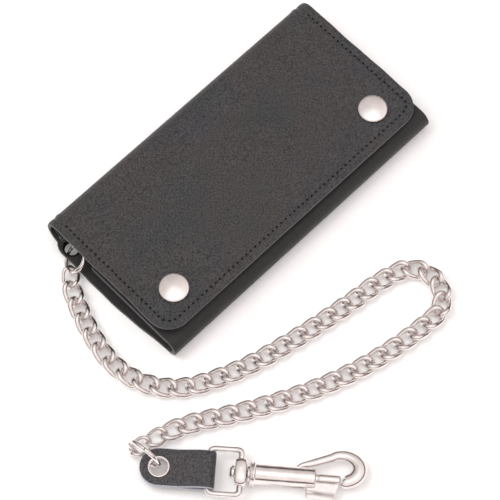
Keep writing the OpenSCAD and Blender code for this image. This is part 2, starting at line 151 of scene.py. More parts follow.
brighter.inputs["From Min"].default_value, brighter.inputs["From Max"].default_value = -0.55, 0.75
brighter.inputs["To Min"].default_value, brighter.inputs["To Max"].default_value = 0.75, 1.42
tree.links.new(window_side.outputs["Value"], brighter.inputs["Value"])
tree.links.new(ceiling.outputs["Color"], tree.nodes["Background"].inputs["Color"])
tree.links.new(brighter.outputs["Result"], tree.nodes["Background"].inputs["Strength"])


def softbox(name, at, size, power, tint):
    """A square area light at a place in metres, turned to face the wallet."""
    lamp = bpy.data.objects.new(name, bpy.data.lights.new(name, "AREA"))
    bpy.context.scene.collection.objects.link(lamp)
    lamp.location = at
    lamp.rotation_euler = (-Vector(at)).to_track_quat("-Z", "Y").to_euler()
    lamp.data.size, lamp.data.energy, lamp.data.color = size, power, tint
    lamp.visible_glossy = False


softbox("key_softbox", (-0.55, 0.85, 1.5), 1.1, 15, (1, 0.99, 0.98))
softbox("fill_softbox", (0.3, -0.5, 1.8), 1.4, 3, (0.97, 0.98, 1))

# ------------------------------
# Outer cover. One piece of black oil-tanned leather, 2.2 mm thick, makes the back, turns up
# round the spine and comes over the front as the flap. Its front corners are cut round.

leather_thickness = 2.2
half_flap = 88.5
half_fold = 89.0
fold_y, spine_y, flap_edge = -39.7, 38.3, -40.8
spine_height, spine_turn = 10.9, 6.6
corner_radius = 12.0
seam_inset = 4.3
snaps = np.array([[-69.0, -24.4], [69.0, -24.4]])


def add_piece(name, points, quads, triangles=(), **marks):
    """Makes an object at the origin from points in millimetres and closed faces. If the volume
    that the faces enclose comes out negative, every face is turned round. Each mark is a number
    for every point, which the materials read."""
    points = np.asarray(points, float).reshape(-1, 3)
    quads = np.asarray(quads, int).reshape(-1, 4)
    triangles = np.asarray(triangles, int).reshape(-1, 3)
    halves = np.concatenate([quads[:, [0, 1, 2]], quads[:, [0, 2, 3]], triangles])
    a, b, c = (points[halves[:, k]] for k in range(3))
    if np.einsum("ij,ij->", a - points[0], np.cross(b - points[0], c - points[0])) < 0:
        quads, triangles = quads[:, ::-1], triangles[:, ::-1]
    mesh = bpy.data.meshes.new(name)
    mesh.from_pydata((points * MM).tolist(), [], quads.tolist() + triangles.tolist())
    mesh.shade_smooth()
    for mark, values in marks.items():
        mesh.attributes.new(mark, "FLOAT", "POINT").data.foreach_set(
            "value", np.asarray(values, np.float32).ravel())
    piece = bpy.data.objects.new(name, mesh)
    bpy.context.scene.collection.objects.link(piece)
    return piece


def unit(v):
    """Each vector at length one."""
    return v / np.maximum(np.linalg.norm(v, axis=-1, keepdims=True), 1e-9)


def sheet_shell(name, middle, thickness, grain=0.0, flesh=0.0, wear=0.12):
    """A sheet of leather or metal round a middle surface, given as rows by columns of points. Its two
    faces lie half the thickness along and against the surface's normal, raised by grain and
    flesh. The cut edge is a squared half round carried along the whole outline."""
    rows, columns = middle.shape[:2]
    along_u, along_v = np.gradient(middle, axis=1), np.gradient(middle, axis=0)
    normal = unit(np.cross(along_u, along_v))
    half = thickness / 2
    face = middle + normal * (half + np.broadcast_to(grain, (rows, columns)))[..., None]
    back = middle - normal * (half + np.broadcast_to(flesh, (rows, columns)))[..., None]
    grid = np.arange(rows * columns).reshape(rows, columns)
    rim = np.concatenate([grid[0, :-1], grid[:-1, -1], grid[-1, :0:-1], grid[:0:-1, 0]])
    line = middle.reshape(-1, 3)[rim]
    rim_normal = normal.reshape(-1, 3)[rim]
    outward = unit(np.cross(unit(np.roll(line, -1, 0) - np.roll(line, 1, 0)), rim_normal))
    top, low = face.reshape(-1, 3)[rim], back.reshape(-1, 3)[rim]
    turn = np.radians([36.0, 72.0, 108.0, 144.0])[:, None, None]
    share = np.sign(np.cos(turn)) * np.abs(np.cos(turn)) ** 0.55
    edge = (top + low) / 2 + (top - low) / 2 * share + outward * 0.16 * thickness * np.sin(turn) ** 0.7
    count, ring = rows * columns, len(rim)
    points = np.concatenate([face.reshape(-1, 3), back.reshape(-1, 3), edge.reshape(-1, 3)])
    a, b, c, d = grid[:-1, :-1], grid[:-1, 1:], grid[1:, 1:], grid[1:, :-1]
    front = np.stack([a, b, c, d], -1).reshape(-1, 4)
    rear = front[:, ::-1] + count
    bands = np.concatenate([rim[None], 2 * count + np.arange(4 * ring).reshape(4, ring), rim[None] + count])
    across = np.roll(bands, -1, 1)
    sides = np.stack([bands[:-1], bands[1:], across[1:], across[:-1]], -1).reshape(-1, 4)
    cut = np.zeros(len(points))
    cut[2 * count:] = 1
    cut[rim] = cut[rim + count] = wear
    inside = np.zeros(len(points))
    inside[count:2 * count] = 1
    return add_piece(name, points, np.concatenate([front, rear, sides]), cut_edge=cut, flesh_side=inside)


def smooth(t):
    t = np.clip(t, 0, 1)
    return t * t * (3 - 2 * t)


def columns_between(left, right, step):
    """Places across a row: half-millimetre steps for the first 8 mm from each cut edge, and
    even steps between. left and right hold one place for each row."""
    band = np.array([0, 0.3, 0.8, 1.4, 2.0, 2.6, 3.1, 3.5, 3.9, 4.3, 4.7, 5.1, 5.6, 6.2, 7.0, 8.0])
    count = int(np.ceil((right.max() - left.min() - 16) / step))
    share = np.linspace(0, 1, count + 1)[1:-1]
    inner = (left + 8)[:, None] + (right - left - 16)[:, None] * share
    return np.concatenate([left[:, None] + band, inner, right[:, None] - band[::-1]], 1)


def seam_relief(d):
    """Height of the grain side at distance d from the cut edge: the edge is rubbed down, the
    seam lies in a pressed groove, and a low ridge runs on the seam's inner side."""
    return (-0.30 * np.exp(-(d / 0.7) ** 2) - 0.32 * np.exp(-((d - seam_inset) / 0.65) ** 2)
            + 0.30 * np.exp(-((d - 6.4) / 1.1) ** 2) + 0.07 * np.exp(-((d - 2.4) / 1.2) ** 2))


def rounded_corner(y, radius):
    """How much shorter than its full half width a row is inside the flap's round corners."""
    t = np.clip((y - flap_edge) / radius, 0, 1)
    return radius - np.sqrt(np.maximum(radius ** 2 - (radius * (1 - t)) ** 2, 0))


def edge_distance(x, y, radius=corner_radius, half=half_flap):
    """Distance from the flap's outline, which has two round corners at its free edge."""
    over_x, over_y = np.abs(x) - (half - radius), flap_edge + radius - y
    corner = radius - np.hypot(np.maximum(over_x, 0), np.maximum(over_y, 0))
    return np.where((over_x > 0) & (over_y > 0), corner,
                    np.minimum(half - np.abs(x), y - flap_edge))


def flap_rise(x, y):
    """The flap bellies up between its snaps and the spine, and is flat under the caps."""
    near = sum(np.exp(-((x - sx) ** 2 + (y - sy) ** 2) / 210.0) for sx, sy in snaps)
    belly = 0.75 * np.sin(np.pi * np.clip((y + 40) / 78, 0, 1)) * np.cos(np.pi * x / 240)
    lip = 0.55 * np.exp(-(y - flap_edge) / 9.0) * np.cos(np.pi * x / 118) ** 2
    wave = 0.16 * np.sin(x / 17.0 + 0.6) * np.sin(y / 15.0 + 1.1) + 0.10 * np.sin(x / 8.3 + y / 11.0)
    return (belly + lip + wave) * (1 - np.minimum(near, 1)) * smooth((spine_y + 1 - y) / 16)


def cover_path():
    """Side view of the cover from the lower fold along the back, up the spine and down the
    flap, as y, z, the half width, and how far along the flap each row is (0 on the back)."""
    back = np.linspace(fold_y, spine_y, 46)
    lift = 1.1 + 3.2 * smooth((back - 6) / 19)
    half_back = (half_fold + 3 * (1 - ((back - 18) / 58) ** 2)
                 - 0.08 * np.maximum(back - 33, 0) ** 2)
    turn = np.linspace(-90, 90, 26)[1:-1]
    round_y = spine_y + spine_turn * np.cos(np.radians(turn))
    round_z = spine_height + spine_turn * np.sin(np.radians(turn))
    half_round = half_flap + (half_back[-1] - half_flap) * (1 - smooth((turn + 90) / 150))
    body = np.linspace(spine_y, flap_edge + corner_radius, 40)
    corner = flap_edge + corner_radius * (1 - np.sin(np.radians(np.linspace(0, 86, 22)[1:])))
    last = np.array([flap_edge + 0.001])
    front = np.concatenate([body, corner, last])
    half_front = half_flap - rounded_corner(front, corner_radius)
    y = np.concatenate([back, round_y, front])
    z = np.concatenate([lift, round_z, np.full(len(front), spine_height + spine_turn)])
    half = np.concatenate([half_back, half_round, half_front])
    on_flap = np.concatenate([np.zeros(len(back)), (turn + 90) / 180, np.ones(len(front))])
    return y, z, half, on_flap


path_y, path_z, path_half, on_flap = cover_path()
wobble = 0.16 * np.sin(path_y / 7.1 + 3 * on_flap) + 0.09 * np.sin(path_y / 2.9)
cover_x = columns_between(-path_half + wobble, path_half + 0.8 * wobble, 2.4)[:, ::-1]
cover_y = np.broadcast_to(path_y[:, None], cover_x.shape)
on_front = (on_flap > 0.99)[:, None]
cover_z = path_z[:, None] + np.where(on_front, flap_rise(cover_x, cover_y), 0)
to_edge = np.where(on_front, edge_distance(cover_x, cover_y), path_half[:, None] - np.abs(cover_x))
outer_cover = sheet_shell(
    "outer_cover", np.stack([cover_x, cover_y, cover_z], -1), leather_thickness,
    grain=seam_relief(to_edge) * np.where(on_flap > 0, 1, 0)[:, None])


def skin(name, rings, loop=False):
    """A tube through rings of points, each ring closed on itself. loop joins the last ring to
    the first; otherwise each end is closed by a fan about the middle of its ring. A leading
    axis makes many like tubes in one piece."""
    rings = np.asarray(rings, float)
    rings = rings[None] if rings.ndim == 3 else rings
    count, n, m = rings.shape[:3]
    i, j = np.meshgrid(np.arange(n if loop else n - 1), np.arange(m), indexing="ij")
    ahead, beside = (i + 1) % n, (j + 1) % m
    quads = np.stack([i * m + j, i * m + beside, ahead * m + beside, ahead * m + j], -1).reshape(-1, 4)
    points = rings.reshape(count, n * m, 3)
    fans = np.zeros((0, 3), int)
    if not loop:
        points = np.concatenate([points, rings[:, [0, -1]].mean(2)], 1)
        j, beside = np.arange(m), (np.arange(m) + 1) % m
        fans = np.concatenate([np.stack([0 * j + n * m, beside, j], 1),
                               np.stack([0 * j + n * m + 1, (n - 1) * m + j, (n - 1) * m + beside], 1)])
    shift = (np.arange(count) * points.shape[1])[:, None, None]
    return add_piece(name, points, quads[None] + shift, fans[None] + shift)


def cut_out(piece, rings):
    """Cuts the closed tube through these rings out of a piece, and keeps the cut mesh."""
    cutter = skin("cutter", rings)
    cut = piece.modifiers.new("cut", "BOOLEAN")
    cut.operation, cut.solver, cut.object = "DIFFERENCE", "EXACT", cutter
    bpy.context.view_layer.update()
    whole = piece.evaluated_get(bpy.context.evaluated_depsgraph_get())
    piece.data = bpy.data.meshes.new_from_object(whole)
    piece.modifiers.clear()
    bpy.data.objects.remove(cutter)


def upright_rings(x, y, radius, heights):
    """Level circles of points at the given heights, for a round hole."""
    a = np.linspace(0, 2 * np.pi, 48, endpoint=False)
    circle = np.stack([x + radius * np.cos(a), y + radius * np.sin(a), 0 * a], 1)
    return np.stack([circle + [0, 0, z] for z in heights])


back_hole = np.array([-87, 30.5, 0])
cut_out(outer_cover, upright_rings(back_hole[0], back_hole[1], 4.1, [1, 5, 9]))


def mixed(node, share, first, second, way="MIX"):
    """Two colours put together, by a share of the second or by another way of blending."""
    return node("MixRGB", {"Fac": share, "Color1": first, "Color2": second},
                blend_type=way).outputs["Color"]


def bumped(node, height, strength, distance, under=None):
    """The shading normal for a height, on top of an earlier one if there is one."""
    inputs = {"Height": height, "Strength": strength, "Distance": distance}
    if under:
        inputs["Normal"] = under
    return node("Bump", inputs).outputs["Normal"]


def leather_paint(name, patches, edge_tone, flesh_tone, rough, crease=1.0):
    """Oil-tanned leather: broad patches of slightly different tint, finger-sized mottling, a
    fine pebbled grain with pores, soft creases, and paler fibres on the cut edge."""
    made, tree, shader, node = node_material(name)
    place = node("TexCoord").outputs["Object"]
    bent = mixed(node, 0.012, place, noise_of(node, place, 30.0, 2.0, out="Color"), "ADD")
    tint = ramp_of(node, noise_of(node, bent, 17.0, 4.0, 0.62), patches)
    mottle = noise_of(node, place, 95.0, 6.0, 0.7)
    shade = ramp_of(node, mottle, [(0.30, 0.88), (0.52, 1.0), (0.72, 1.13)])
    dust = noise_of(node, place, 1250.0, 3.0, 0.85)
    speck = ramp_of(node, dust, [(0.38, 0.28), (0.60, 1.85)])
    colour = mixed(node, 1.0, mixed(node, 1.0, tint, shade, "MULTIPLY"), speck, "MULTIPLY")
    pores = node("TexVoronoi", {"Vector": place, "Scale": 1150.0, "Randomness": 0.95}).outputs["Distance"]
    folds = node("TexVoronoi", {"Vector": bent, "Scale": 260.0},
                 feature="DISTANCE_TO_EDGE").outputs["Distance"]
    cut = node("Attribute", attribute_name="cut_edge").outputs["Fac"]
    flesh = node("Attribute", attribute_name="flesh_side").outputs["Fac"]
    fibre = noise_of(node, place, 1500.0, 3.0)
    nap = ramp_of(node, fibre, [(0.3, tuple(0.72 * c for c in flesh_tone)), (0.7, flesh_tone)])
    raw = ramp_of(node, fibre, [(0.3, tuple(0.6 * c for c in edge_tone)), (0.65, edge_tone)])
    colour = mixed(node, cut, mixed(node, flesh, colour, nap), raw)
    tree.links.new(colour, shader.inputs["Base Color"])
    tree.links.new(ramp_of(node, mottle, [(0.3, rough - 0.07), (0.7, rough + 0.08)]),
                   shader.inputs["Roughness"])
    pebbles = node("Math", {0: pores, 1: 0.55}, operation="MULTIPLY").outputs[0]
    pebbles = node("Math", {0: pebbles, 1: dust}, operation="ADD").outputs[0]
    grain = node("Math", {0: ramp_of(node, folds, [(0.0, 0.0), (0.16, 1.0)]), 1: 0.35 * crease,
                          2: pebbles}, operation="MULTIPLY_ADD").outputs[0]
    fine = bumped(node, grain, 0.42, 0.00035)
    tree.links.new(bumped(node, mottle, 0.30, 0.0012, fine), shader.inputs["Normal"])
    shader.inputs["Specular IOR Level"].default_value = 0.42
    shader.inputs["Sheen Weight"].default_value = 0.10
    shader.inputs["Sheen Roughness"].default_value = 0.45
    return made


black_leather = leather_paint(
    "oiled_black_leather",
    [(0.30, (0.031, 0.035, 0.037)), (0.42, (0.038, 0.037, 0.038)), (0.52, (0.042, 0.038, 0.038)),
     (0.62, (0.037, 0.037, 0.041)), (0.74, (0.034, 0.037, 0.036))],
    (0.088, 0.092, 0.096), (0.030, 0.029, 0.029), 0.60)
outer_cover.data.materials.clear()
outer_cover.data.materials.append(black_leather)
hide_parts("back_panel", "spine_fold", "flap_panel")
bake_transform(outer_cover)

# ------------------------------
# Flap lining. A thinner, softer leather is glued and sewn to the inside of the spine and flap,
# cut a little short of the cover so that the cover's edge stands past it.

lining_thickness, lining_turn, lining_half_width = 1.2, 4.88, 87.0
lining_corner, lining_corner_y, lining_round_rows = 10.7, -29.5, 21


def lining_path():
    """Side view of the lining: half a turn inside the spine, then along the underside of the
    flap to just short of its free edge, with the flap's own belly."""
    turn = np.radians(np.linspace(-90, 90, lining_round_rows + 1)[:-1])
    corner = np.radians(np.linspace(0, 86, 18)[1:])
    front = np.concatenate([np.linspace(spine_y, lining_corner_y, 34),
                            lining_corner_y - lining_corner * np.sin(corner)])
    y = np.concatenate([spine_y + lining_turn * np.cos(turn), front])
    z = np.concatenate([spine_height + lining_turn * np.sin(turn),
                        np.full(len(front), spine_height + lining_turn)])
    past = np.maximum(lining_corner_y - front, 0)
    short = lining_corner - np.sqrt(np.maximum(lining_corner ** 2 - past ** 2, 0))
    return y, z, lining_half_width - np.concatenate([0 * turn, short])


lining_y, lining_z, lining_half = lining_path()
lining_x = columns_between(-lining_half, lining_half, 3.2)[:, ::-1]
lining_rows = np.broadcast_to(lining_y[:, None], lining_x.shape)
on_front = (np.arange(len(lining_y)) >= lining_round_rows)[:, None]
flap_lining = sheet_shell("flap_lining_leather", np.stack([
    lining_x, lining_rows,
    lining_z[:, None] + np.where(on_front, flap_rise(lining_x, lining_rows), 0)], -1), lining_thickness)
soft_lining = leather_paint(
    "soft_lining_leather",
    [(0.30, (0.026, 0.029, 0.031)), (0.50, (0.034, 0.034, 0.036)), (0.70, (0.031, 0.030, 0.033))],
    (0.075, 0.085, 0.090), (0.022, 0.022, 0.022), 0.66, crease=0.6)
flap_lining.data.materials.append(soft_lining)
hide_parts("flap_lining", "spine_lining")
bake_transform(flap_lining)

# ------------------------------
# Front strip and lower fold. The cover's other end turns up round the bottom of the wallet and
# lies over the coin pouch; its left end is notched for the ring. The snap studs sit on it.


fold_turn, fold_height, strip_height = 5.2, 6.3, 11.5


def pouch_path():
    """Side view of the strip: half a turn about the lower fold, then level towards the spine,
    with the left and right end of each row."""
    turn = np.linspace(-90, -270, 28)[:-1]
    level = np.concatenate([np.linspace(fold_y, 12, 22)[:-1], np.linspace(12, 20, 14)[:-1],
                            np.linspace(20, 30, 8)])
    y = np.concatenate([fold_y + fold_turn * np.cos(np.radians(turn)), level])
    z = np.concatenate([fold_height + fold_turn * np.sin(np.radians(turn)),
                        np.full(len(level), strip_height)])
    taper = np.concatenate([smooth((-90 - turn) / 180), np.ones(len(level))])
    notch = np.concatenate([np.zeros(len(turn)), 7.0 * smooth((level - 13.0) / 4)])
    return y, z, -half_fold + 0.3 * taper + notch, half_fold - 0.6 * taper


strip_y, strip_z, strip_left, strip_right = pouch_path()
strip_x = columns_between(strip_left, strip_right, 3.0)[:, ::-1]
strip_rows = np.broadcast_to(strip_y[:, None], strip_x.shape)
strip_edge = np.minimum(strip_x - strip_left[:, None], strip_right[:, None] - strip_x)
strip_belly = 0.25 * np.sin(strip_x / 21.0 + 0.8) * smooth((strip_z[:, None] - 4) / 6) * smooth(
    (-34 - strip_rows) / 5)
front_strip = sheet_shell("front_strip", np.stack([
    strip_x, strip_rows - strip_belly, strip_z[:, None] + 0 * strip_x], -1), leather_thickness,
    grain=seam_relief(strip_edge) * smooth((strip_z[:, None] - 6) / 5))
front_strip.data.materials.append(black_leather)
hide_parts("lower_fold", "pouch_panel")
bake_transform(front_strip)

# ------------------------------
# Coin pouch. One piece of lining leather is folded double, with its round fold next to the
# spine, and sewn along both ends under the front strip.


def folded_rows(low, high, nose, start):
    """Side view of a double layer: level at height low, round a half turn at nose, and back."""
    radius = (high - low) / 2
    turn = np.radians(np.linspace(-90, 90, 16)[1:-1])
    run = np.concatenate([np.linspace(start, 12, 20), np.linspace(13, nose, 28)])
    y = np.concatenate([run, nose + radius * np.cos(turn), run[::-1]])
    z = np.concatenate([np.full(len(run), low), (low + high) / 2 + radius * np.sin(turn),
                        np.full(len(run), high)])
    return y, z


pocket_y, pocket_z = folded_rows(7.0, 9.8, 36.5, -38.7)
pocket_left = -88.2 + 6.4 * smooth((pocket_y - 13.6) / 3.8) * (1 - smooth((pocket_y - 33.2) / 2.2))
pocket_x = columns_between(pocket_left, np.full(len(pocket_y), 87.2), 3.4)[:, ::-1]
pocket_rows = np.broadcast_to(pocket_y[:, None], pocket_x.shape)
coin_pouch = sheet_shell("coin_pouch", np.stack([
    pocket_x, pocket_rows, pocket_z[:, None]
    + 0.22 * np.sin(pocket_x / 19.0) * np.sin((pocket_rows + 38) / 24.0)], -1), lining_thickness)
coin_pouch.data.materials.append(soft_lining)
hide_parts("pouch_lining")
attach(coin_pouch, "pouch")

# ------------------------------
# Bill panel and card pockets. Thin panels of lining leather lie on the back, each a step
# shorter than the one under it, with a shallow thumb notch in the pockets' open edges.


def flat_panel(name, half, y0, y1, z, thickness, notch_depth, node_name):
    """A level panel whose edge towards the spine dips by notch_depth in a smooth wide arc."""
    rows = np.linspace(0, 1, 30)
    x = columns_between(np.full(30, -half), np.full(30, half), 4.0)[:, ::-1]
    far = y1 - notch_depth * np.exp(-(x / 13.0) ** 2)
    y = y0 + (far - y0) * rows[:, None]
    piece = sheet_shell(name, np.stack([x, y, z + 0.08 * np.sin(x / 16.0 + z)], -1), thickness)
    piece.data.materials.append(soft_lining)
    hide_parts(node_name)
    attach(piece, "base")


flat_panel("bill_pocket_leather", 85.0, -39.7, 6.0, 2.8, 0.8, 0.0, "bill_panel")
for step in range(3):
    flat_panel(f"card_pocket_leather_{step + 1}", 81.0, -37.7, 2.3 - 11 * step,
               3.65 + 0.85 * step, 0.8, 2.4, f"card_pocket_{step + 1}")

# ------------------------------
# Stitching. Black waxed thread, three millimetres to the stitch, runs round three sides of the
# flap in its pressed groove, down both ends of the front strip and the bill panel.


def spaced(line, pitch):
    """Places and directions every pitch along a line of points."""
    steps = np.concatenate([[0], np.cumsum(np.linalg.norm(np.diff(line, axis=0), axis=1))])
    at = np.arange(pitch / 2, steps[-1], pitch)
    pick = lambda s: np.stack([np.interp(s, steps, line[:, k]) for k in range(line.shape[1])], 1)
    return pick(at), unit(pick(at + 0.3) - pick(at - 0.3))


stitch_pitch, stitch_half, stitch_radius = 3.0, 0.76, 0.62


def stitches(name, lines, lift, node_name, body):
    """Each stitch is a short bead, thickest in its middle, whose ends dip into the leather."""
    at, way = (np.concatenate(rows) for rows in zip(*(spaced(line, stitch_pitch) for line in lines)))
    up = np.array([0, 0, 1.0])
    side = unit(np.cross(up, way))
    along = np.linspace(-1, 1, 7)
    girth = np.sqrt(np.maximum(1 - along ** 2, 0.02))
    a = np.linspace(0, 2 * np.pi, 8, endpoint=False)
    rings = (at[:, None, None] + stitch_half * along[None, :, None, None] * way[:, None, None]
             + stitch_radius * (girth[:, None] * np.cos(a))[None, ..., None] * side[:, None, None]
             + (lift + 0.30 * girth[:, None] * np.sin(a) - 0.12 * along[:, None] ** 2)[None, ..., None] * up)
    piece = skin(name, rings)
    piece.data.materials.append(waxed_thread)
    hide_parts(node_name)
    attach(piece, body)


waxed_thread, tree, shader, node = node_material("black_waxed_thread")
place = node("TexCoord").outputs["Object"]
twist = node("TexWave", {"Vector": place, "Scale": 700.0, "Distortion": 2.0},
             bands_direction="DIAGONAL").outputs["Fac"]
tree.links.new(ramp_of(node, twist, [(0.2, 0.002), (0.8, 0.007)]), shader.inputs["Base Color"])
tree.links.new(ramp_of(node, twist, [(0.0, 0.55), (1.0, 0.75)]), shader.inputs["Roughness"])
tree.links.new(bumped(node, twist, 0.5, 0.0002), shader.inputs["Normal"])
shader.inputs["Specular IOR Level"].default_value = 0.25

seam_corner = np.radians(np.linspace(0, 90, 14))
seam_x, seam_y, seam_radius = half_flap - seam_inset, flap_edge + seam_inset, 5.5
quarter = np.stack([seam_x - seam_radius * (1 - np.cos(seam_corner)),
                    seam_y + seam_radius * (1 - np.sin(seam_corner))], 1)
half_seam = np.concatenate([[[seam_x, spine_y - 0.5]], quarter])
flap_seam = np.concatenate([half_seam, half_seam[::-1] * [-1, 1]])
flap_seam = spaced(flap_seam, 0.5)[0]
flap_seam_z = (spine_height + spine_turn + leather_thickness / 2
               + flap_rise(flap_seam[:, 0], flap_seam[:, 1])
               + seam_relief(edge_distance(flap_seam[:, 0], flap_seam[:, 1])))
stitches("flap_seam", [np.column_stack([flap_seam, flap_seam_z])], 0.06, "flap_stitching", "flap")
pocket_seams = [
    ("strip_seam", "pouch_stitching", "pouch", 83.7, 12.45, -38.5, 13.0, 27.0),
    ("pocket_seam", "back_stitching", "base", 83.4, 3.2, -37.5, 4.0, 4.0)]
for name, node_name, body, inset_x, height, first, last_left, last_right in pocket_seams:
    ends = [np.array([[side * inset_x, first, height], [side * inset_x, last, height]])
            for side, last in ((-1, last_left), (1, last_right))]
    stitches(name, ends, 0.0, node_name, body)

# ------------------------------
# Snap fasteners. Nickel-plated domed caps on the flap, with a rolled rim; sockets under the
# flap; studs and their posts on the front strip. All are stamped and turned from thin brass.


def soften(profile, radius, steps=5):
    """Rounds a profile's corners. Each corner gives way to points on a parabola that leaves one
    side and meets the other, with one more point on each side to hold the flats flat."""
    p = np.asarray(profile, float)
    before, after = p[:-2] - p[1:-1], p[2:] - p[1:-1]
    low = np.minimum(radius / np.linalg.norm(before, axis=1), 0.3)[:, None]
    high = np.minimum(radius / np.linalg.norm(after, axis=1), 0.3)[:, None]
    t = np.linspace(0, 1, steps)[:, None, None]
    start, end = p[1:-1] + before * low, p[1:-1] + after * high
    bend = (1 - t) ** 2 * start + 2 * t * (1 - t) * p[1:-1] + t ** 2 * end
    held = np.concatenate([[p[1:-1] + 1.5 * before * low], bend, [p[1:-1] + 1.5 * after * high]])
    return np.concatenate([p[:1], held.transpose(1, 0, 2).reshape(-1, p.shape[1]), p[-1:]])


def turned(name, profile, at, axes, sides=72, loop=False):
    """A profile of radius and height turned round the third of three axes, from a place."""
    profile = np.asarray(profile, float)
    a = np.linspace(0, 2 * np.pi, sides, endpoint=False)
    r = np.maximum(profile[:, 0], 0.03)[:, None, None]
    rings = (np.asarray(at) + r * (np.cos(a)[:, None] * axes[0] + np.sin(a)[:, None] * axes[1])
             + profile[:, 1][:, None, None] * axes[2])
    return skin(name, rings, loop)


def nickel_paint(name, colour, rough, scuffs):
    """Nickel plate: polished but faintly wavy from the casting under it, with hairline scuffs
    and slightly duller patches where it has been handled."""
    made, tree, shader, node = node_material(name)
    place = node("TexCoord").outputs["Object"]
    handled = noise_of(node, place, 180.0, 4.0)
    dark = tuple(0.90 * c for c in colour)
    tree.links.new(ramp_of(node, handled, [(0.35, dark), (0.6, colour)]), shader.inputs["Base Color"])
    tree.links.new(ramp_of(node, handled, [(0.3, rough * 0.75), (0.7, rough * 1.5)]),
                   shader.inputs["Roughness"])
    hair = node("Mapping", {"Vector": place, "Scale": (260.0, 4200.0, 4200.0),
                            "Rotation": (0.3, 0.2, -0.8)}).outputs["Vector"]
    cast = bumped(node, noise_of(node, place, 330.0, 2.0), 0.10, 0.0006)
    fine = bumped(node, noise_of(node, hair, 1.0, 3.0), scuffs, 0.00006, cast)
    tree.links.new(fine, shader.inputs["Normal"])
    shader.inputs["Metallic"].default_value = 1.0
    return made


bright_nickel = nickel_paint("bright_nickel", (0.92, 0.87, 0.855), 0.12, 0.10)
black_nickel = nickel_paint("blackened_nickel", (0.030, 0.029, 0.029), 0.42, 0.10)


def plated(piece, paint, node_name, body):
    """Gives a metal piece its plating, the CAD node it stands for and the body it rides on."""
    piece.data.materials.clear()
    piece.data.materials.append(paint)
    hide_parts(node_name)
    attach(piece, body)


upright = np.eye(3)
flap_top = spine_height + spine_turn + leather_thickness / 2
cap_height, rim_radius = 2.6, 0.7
rim_turn, dome_r = np.radians(np.linspace(-70, 70, 11)), np.linspace(7.0, 0, 20)
cap_profile = np.concatenate([
    [[0, 0], [6.6, 0.0], [7.0, 0.03]],
    np.stack([6.9 + rim_radius * np.cos(rim_turn), 0.74 + rim_radius * np.sin(rim_turn)], 1),
    np.stack([dome_r, cap_height - 1.14 * (dome_r / 7.1) ** 2], 1)])
socket_profile = soften([[0, 2.0], [5.2, 2.0], [5.2, 0.9], [4.6, 0.0], [3.4, 0.0], [3.55, 1.6],
                         [0, 1.6]], 0.25)
stud_profile = soften([[0, 0], [4.6, 0], [4.6, 0.4], [2.3, 0.45], [2.1, 0.9], [2.6, 1.45],
                       [1.9, 1.8], [0, 1.8]], 0.2)
socket_height, stud_height, post_height = 13.2, 12.6, 9.2
post_profile = soften([[0, -0.4], [4.6, -0.4], [4.6, -0.05], [1.5, 0.0], [1.5, 3.4], [0, 3.4]], 0.15)
for (snap_x, snap_y), end in zip(snaps, ("left", "right")):
    for part, profile, height, body in (("cap", cap_profile, flap_top, "flap"),
                                        ("socket", socket_profile, socket_height, "flap"),
                                        ("stud", stud_profile, stud_height, "pouch"),
                                        ("post", post_profile, post_height, "pouch")):
        piece = turned(f"nickel_{part}_{end}", profile, [snap_x, snap_y, height], upright)
        plated(piece, bright_nickel, f"snap_{part}_{end}", body)

# ------------------------------
# Eyelets. Two-part nickel eyelets, each a rolled flange with a barrel and a washer that the
# barrel is set into: a blackened one in the back's left corner, and a bright one through both
# layers of the tab.


def eyelet(name, at, axes, hole, flange, foot, head, face_node, washer_node, body, flange_on_top, plate):
    """A rolled flange and its barrel as one closed profile, and the washer as another."""
    roll = np.radians(np.linspace(0, 180, 10))
    width = (flange - hole - 0.3) / 2
    bulge = 0.35
    lip = np.stack([hole + 0.3 + width + width * np.cos(roll), bulge * np.sin(roll)], 1)
    top, sign = (head, 1) if flange_on_top else (foot, -1)
    other = foot if flange_on_top else head
    face = np.concatenate([
        np.stack([lip[:, 0], top + sign * lip[:, 1]], 1)[:-1],
        [[hole + 0.12, top + sign * 0.22], [hole, top - sign * 0.1], [hole, other],
         [hole + 0.3, other], [hole + 0.3, top]]])
    ring = np.stack([lip[:, 0], other - sign * lip[:, 1]], 1)
    ring[-1, 0] = hole + 0.34
    for part, profile, node_name in (("eyelet", face, face_node), ("washer", ring, washer_node)):
        piece = turned(f"{name}_{part}", profile, at, axes, loop=True)
        plated(piece, plate, node_name, body)


eyelet("back", back_hole, upright, 3.75, 4.8, 3.2, 5.4, "wallet_eyelet", "wallet_eyelet_washer",
       "base", False, black_nickel)

# ------------------------------
# Rings. Each is a length of round nickel-plated wire bent to a circle with its ends butted; one
# hangs in the back's eyelet and one joins the chain to the tab.


def turn_about(axis, degrees):
    """The turn by an angle about the X, Y or Z axis, as rows to multiply points by."""
    c, s = np.cos(np.radians(degrees)), np.sin(np.radians(degrees))
    i, j = [(1, 2), (2, 0), (0, 1)]["XYZ".index(axis)]
    m = np.eye(3)
    m[i, i] = m[j, j] = c
    m[i, j], m[j, i] = s, -s
    return m


def butted_ring(name, radius, wire, at, turn, joint_at, node_name, body):
    """A wire of round section carried once round a circle, with a hair's gap at the joint."""
    round_it = np.radians(joint_at + np.linspace(0.9, 359.1, 120))
    a = np.linspace(0, 2 * np.pi, 20, endpoint=False)
    reach = radius + wire * np.cos(a)
    rings = np.stack([reach * np.cos(round_it)[:, None], reach * np.sin(round_it)[:, None],
                      wire * np.sin(a) + 0 * round_it[:, None]], -1)
    piece = skin(name, rings @ turn + at)
    plated(piece, bright_nickel, node_name, body)


